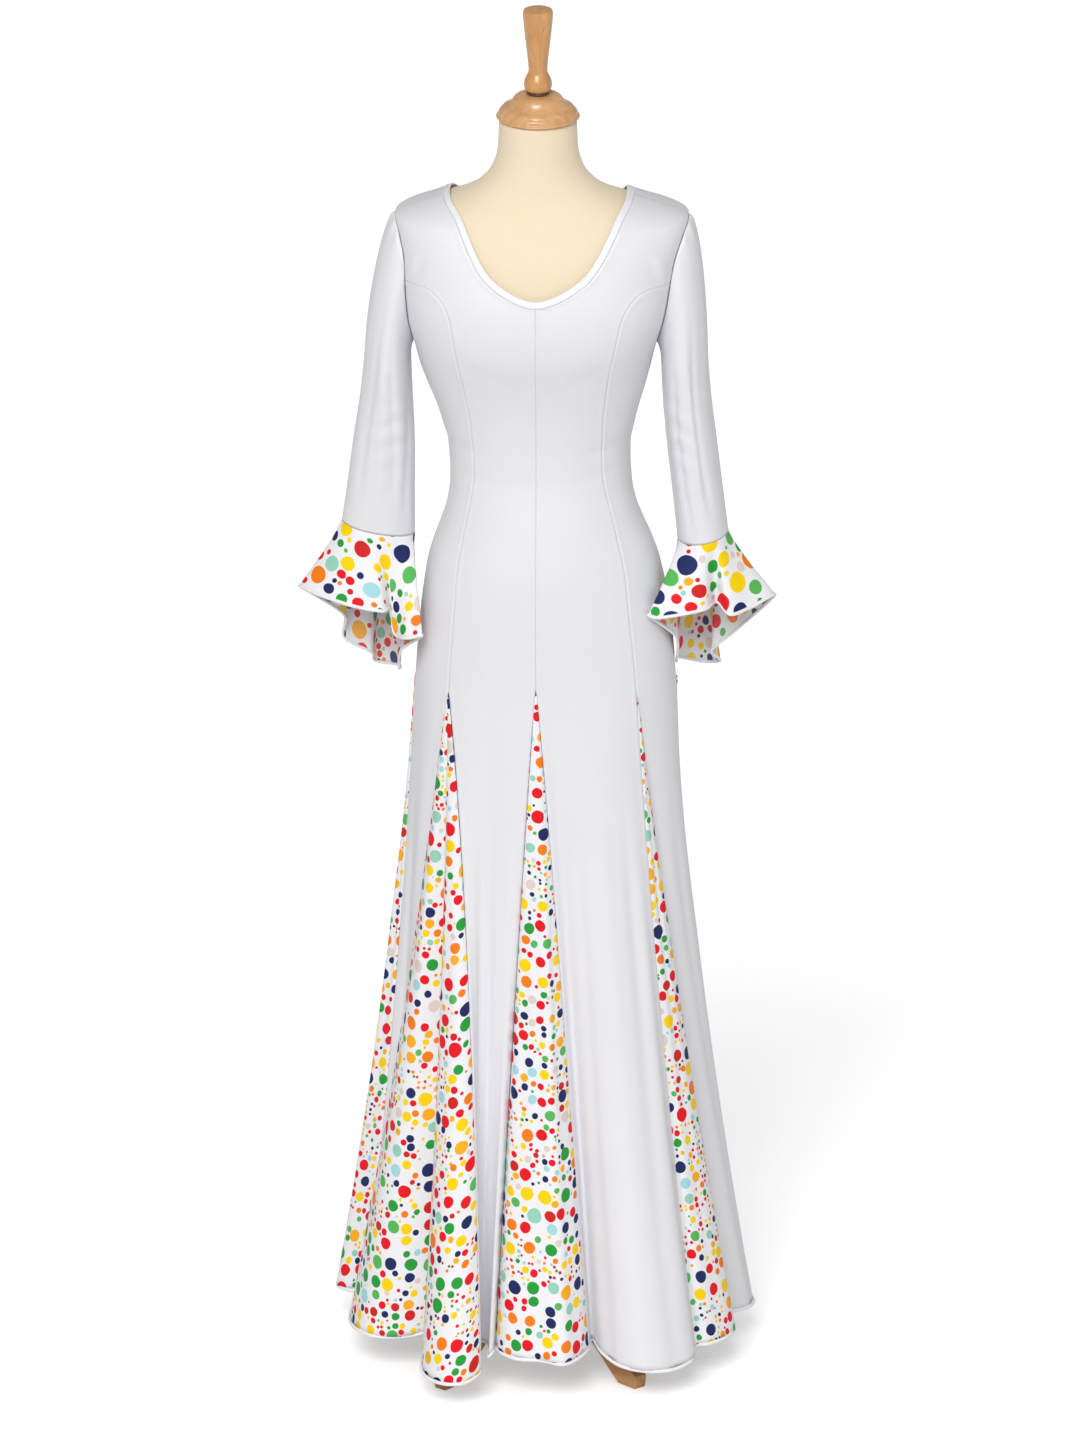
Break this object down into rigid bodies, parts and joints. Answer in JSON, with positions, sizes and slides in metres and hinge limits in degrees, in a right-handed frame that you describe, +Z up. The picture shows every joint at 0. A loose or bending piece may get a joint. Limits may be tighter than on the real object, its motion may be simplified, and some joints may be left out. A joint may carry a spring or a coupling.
{
  "type": "flamenco dress on a dress form",
  "caption": "Long white princess-line flamenco dress with dotted godets and cuff flounces, worn by a limbless jersey dress form with a turned neck cap and a wooden stand.",
  "frame": {"origin": "on the floor under the middle of the stand, on the pole's axis", "axes": "+Z up along the pole, -Y the front of the dress, +X the dress's left as worn (the viewer's right)"},
  "size_m": [0.5849, 0.4486, 1.7505],
  "materials": {
    "white_knit": "smooth stretch knit with a slight lustre",
    "dotted_knit": "white stretch knit printed with dots of several colours",
    "form_jersey": "matt cream jersey",
    "beech": "varnished beech",
    "dark_wood": "dark stained wood"
  },
  "bodies": {
    "root": {"back_godet": "dotted_knit", "back_left_godet": "dotted_knit", "back_left_gore": "white_knit", "back_right_godet": "dotted_knit", "back_right_gore": "white_knit", "flounce_left": "dotted_knit", "flounce_left_hem_edging": "white_knit", "flounce_right": "dotted_knit", "flounce_right_hem_edging": "white_knit", "form_torso": "form_jersey", "front_godet": "dotted_knit", "front_left_godet": "dotted_knit", "front_left_gore": "white_knit", "front_right_godet": "dotted_knit", "front_right_gore": "white_knit", "handle": "beech", "handle_ring": "dark_wood", "leg_back_left": "beech", "leg_back_right": "beech", "leg_front_left": "beech", "leg_front_right": "beech", "neck_binding": "white_knit", "neck_cap": "beech", "pole": "dark_wood", "side_back_left_gore": "white_knit", "side_back_right_gore": "white_knit", "side_front_left_gore": "white_knit", "side_front_right_gore": "white_knit", "side_left_godet": "dotted_knit", "side_right_godet": "dotted_knit", "skirt_hem_edging": "white_knit", "sleeve_left": "white_knit", "sleeve_right": "white_knit", "stand_hub": "beech"}
  },
  "joints": []
}
